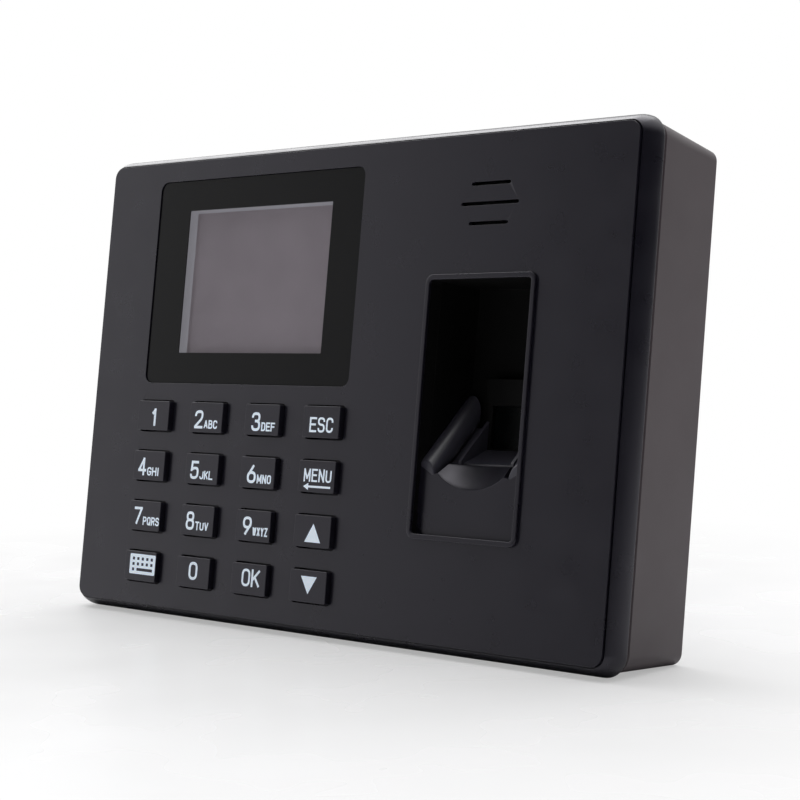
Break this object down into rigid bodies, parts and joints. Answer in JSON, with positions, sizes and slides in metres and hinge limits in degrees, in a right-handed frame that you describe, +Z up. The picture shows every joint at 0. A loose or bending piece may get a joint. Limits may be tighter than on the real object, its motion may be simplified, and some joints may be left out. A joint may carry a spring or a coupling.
{
  "type": "fingerprint scanner terminal",
  "caption": "Wall-mounted fingerprint scanner terminal with a colour screen, a numeric keypad, speaker slots and a recessed finger guide.",
  "frame": {"origin": "centre of the steel wall plate's rear face, which lies against the wall", "axes": "+X to the right as seen from the front, +Y back into the wall, +Z up"},
  "size_m": [0.178, 0.0287, 0.1204],
  "materials": {
    "cover_plastic": "fine matt texture, charcoal",
    "shell_plastic": "fine matt texture, warm charcoal",
    "key_plastic": "satin with pale printed legends",
    "window_lens": "polished acrylic, black printed border",
    "lcd_glass": "unlit polariser film",
    "light_guide": "milky",
    "silicone": "matt silicone",
    "circuit_board": "green solder mask",
    "chip_plastic": "moulded black",
    "socket_plastic": "moulded black",
    "plated_steel": "nickel plated",
    "plate_steel": "zinc plated sheet",
    "screw_steel": "zinc plated",
    "flat_cable": "polyimide film",
    "wire_jacket": "soft vinyl",
    "dust_cloth": "woven dust cloth",
    "cone_film": "treated paper film",
    "well_plastic": "light-trapping matt black",
    "guide_plastic": "worn satin charcoal",
    "scanner_glass": "dark coated optical glass"
  },
  "bodies": {
    "case": {"backlight_tray": "plated_steel", "battery_holder": "socket_plastic", "board_capacitor": "plated_steel", "board_screw_1": "screw_steel", "board_screw_2": "screw_steel", "board_screw_3": "screw_steel", "board_screw_4": "screw_steel", "case_screw_1": "screw_steel", "case_screw_2": "screw_steel", "case_screw_3": "screw_steel", "case_screw_4": "screw_steel", "clock_battery": "plated_steel", "display_tail": "flat_cable", "display_window": "window_lens", "finger_guide": "guide_plastic", "finger_well": "well_plastic", "front_cover": "cover_plastic", "keypad_mat": "silicone", "lcd_panel": "lcd_glass", "light_guide": "light_guide", "lock_screw": "screw_steel", "main_board": "circuit_board", "memory_chip": "chip_plastic", "power_socket": "socket_plastic", "processor": "chip_plastic", "rear_shell": "shell_plastic", "scanner_board": "circuit_board", "scanner_cable": "flat_cable", "scanner_connector": "socket_plastic", "scanner_lamp": "light_guide", "scanner_lens": "chip_plastic", "scanner_window": "scanner_glass", "speaker_basket": "plated_steel", "speaker_cloth": "dust_cloth", "speaker_cone": "cone_film", "speaker_connector": "socket_plastic", "speaker_wire": "wire_jacket", "tail_connector": "socket_plastic", "usb_shell": "plated_steel", "usb_tongue": "socket_plastic", "voltage_regulator": "chip_plastic", "wall_plate": "plate_steel"},
    "cap_1": {"key_1": "key_plastic"},
    "cap_2": {"key_2": "key_plastic"},
    "cap_3": {"key_3": "key_plastic"},
    "cap_esc": {"key_esc": "key_plastic"},
    "cap_4": {"key_4": "key_plastic"},
    "cap_5": {"key_5": "key_plastic"},
    "cap_6": {"key_6": "key_plastic"},
    "cap_menu": {"key_menu": "key_plastic"},
    "cap_7": {"key_7": "key_plastic"},
    "cap_8": {"key_8": "key_plastic"},
    "cap_9": {"key_9": "key_plastic"},
    "cap_up": {"key_up": "key_plastic"},
    "cap_text": {"key_text": "key_plastic"},
    "cap_0": {"key_0": "key_plastic"},
    "cap_ok": {"key_ok": "key_plastic"},
    "cap_down": {"key_down": "key_plastic"}
  },
  "joints": [
    {"name": "press_1", "type": "slide", "parent": "case", "child": "cap_1", "axis": [0, 1, 0], "range_m": [0, 0.001], "stiffness_N_per_m": 20},
    {"name": "press_2", "type": "slide", "parent": "case", "child": "cap_2", "axis": [0, 1, 0], "range_m": [0, 0.001], "stiffness_N_per_m": 20},
    {"name": "press_3", "type": "slide", "parent": "case", "child": "cap_3", "axis": [0, 1, 0], "range_m": [0, 0.001], "stiffness_N_per_m": 20},
    {"name": "press_esc", "type": "slide", "parent": "case", "child": "cap_esc", "axis": [0, 1, 0], "range_m": [0, 0.001], "stiffness_N_per_m": 20},
    {"name": "press_4", "type": "slide", "parent": "case", "child": "cap_4", "axis": [0, 1, 0], "range_m": [0, 0.001], "stiffness_N_per_m": 20},
    {"name": "press_5", "type": "slide", "parent": "case", "child": "cap_5", "axis": [0, 1, 0], "range_m": [0, 0.001], "stiffness_N_per_m": 20},
    {"name": "press_6", "type": "slide", "parent": "case", "child": "cap_6", "axis": [0, 1, 0], "range_m": [0, 0.001], "stiffness_N_per_m": 20},
    {"name": "press_menu", "type": "slide", "parent": "case", "child": "cap_menu", "axis": [0, 1, 0], "range_m": [0, 0.001], "stiffness_N_per_m": 20},
    {"name": "press_7", "type": "slide", "parent": "case", "child": "cap_7", "axis": [0, 1, 0], "range_m": [0, 0.001], "stiffness_N_per_m": 20},
    {"name": "press_8", "type": "slide", "parent": "case", "child": "cap_8", "axis": [0, 1, 0], "range_m": [0, 0.001], "stiffness_N_per_m": 20},
    {"name": "press_9", "type": "slide", "parent": "case", "child": "cap_9", "axis": [0, 1, 0], "range_m": [0, 0.001], "stiffness_N_per_m": 20},
    {"name": "press_up", "type": "slide", "parent": "case", "child": "cap_up", "axis": [0, 1, 0], "range_m": [0, 0.001], "stiffness_N_per_m": 20},
    {"name": "press_text", "type": "slide", "parent": "case", "child": "cap_text", "axis": [0, 1, 0], "range_m": [0, 0.001], "stiffness_N_per_m": 20},
    {"name": "press_0", "type": "slide", "parent": "case", "child": "cap_0", "axis": [0, 1, 0], "range_m": [0, 0.001], "stiffness_N_per_m": 20},
    {"name": "press_ok", "type": "slide", "parent": "case", "child": "cap_ok", "axis": [0, 1, 0], "range_m": [0, 0.001], "stiffness_N_per_m": 20},
    {"name": "press_down", "type": "slide", "parent": "case", "child": "cap_down", "axis": [0, 1, 0], "range_m": [0, 0.001], "stiffness_N_per_m": 20}
  ]
}
